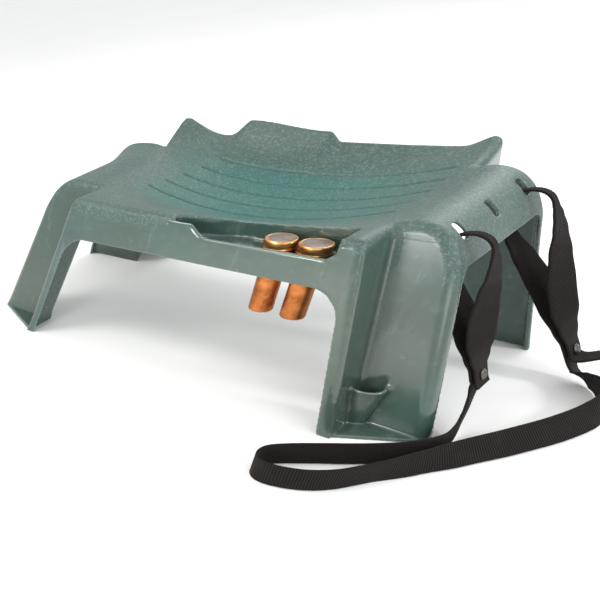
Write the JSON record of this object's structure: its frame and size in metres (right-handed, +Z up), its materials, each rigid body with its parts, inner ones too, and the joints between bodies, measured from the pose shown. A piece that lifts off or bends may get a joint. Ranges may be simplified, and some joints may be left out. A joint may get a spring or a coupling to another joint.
{
  "type": "garden kneeler seat",
  "caption": "Low moulded garden seat with a dished grooved top, splayed channel legs, a front tray holding plugs, and a webbing carry strap looped through its side slots.",
  "frame": {"origin": "on the floor under the middle of the whole outline, strap included; the middle of the bowl is at x -0.01747, y +0.04988", "axes": "+X along the seat's length towards the side that carries the strap, +Y towards the raised rear edge, +Z up"},
  "size_m": [0.5856, 0.4118, 0.2048],
  "materials": {
    "seat_green": "grey-green moulded plastic, pebbled on top and semi-gloss on the legs",
    "peg_copper": "satin copper colour",
    "peg_cap_brass": "worn satin brass",
    "strap_webbing": "ribbed dark woven webbing",
    "rivet_metal": "dull nickel"
  },
  "bodies": {
    "seat": {"seat_body": "seat_green"},
    "peg_left": {"peg_left_cap": "peg_cap_brass", "peg_left_shank": "peg_copper"},
    "peg_right": {"peg_right_cap": "peg_cap_brass", "peg_right_shank": "peg_copper"},
    "strap": {"strap_webbing": "strap_webbing", "strap_rivet_front": "rivet_metal", "strap_rivet_rear": "rivet_metal"}
  },
  "joints": [
    {"name": "peg_left_lift", "type": "slide", "parent": "seat", "child": "peg_left", "axis": [0, 0, 1], "range_m": [0, 0.075]},
    {"name": "peg_right_lift", "type": "slide", "parent": "seat", "child": "peg_right", "axis": [0, 0, 1], "range_m": [0, 0.075]},
    {"name": "strap_swing", "type": "hinge", "parent": "seat", "child": "strap", "pos_m": [0.17198, 0.04988, 0.15377], "axis": [0, -1, 0], "range_deg": [0, 45]}
  ]
}
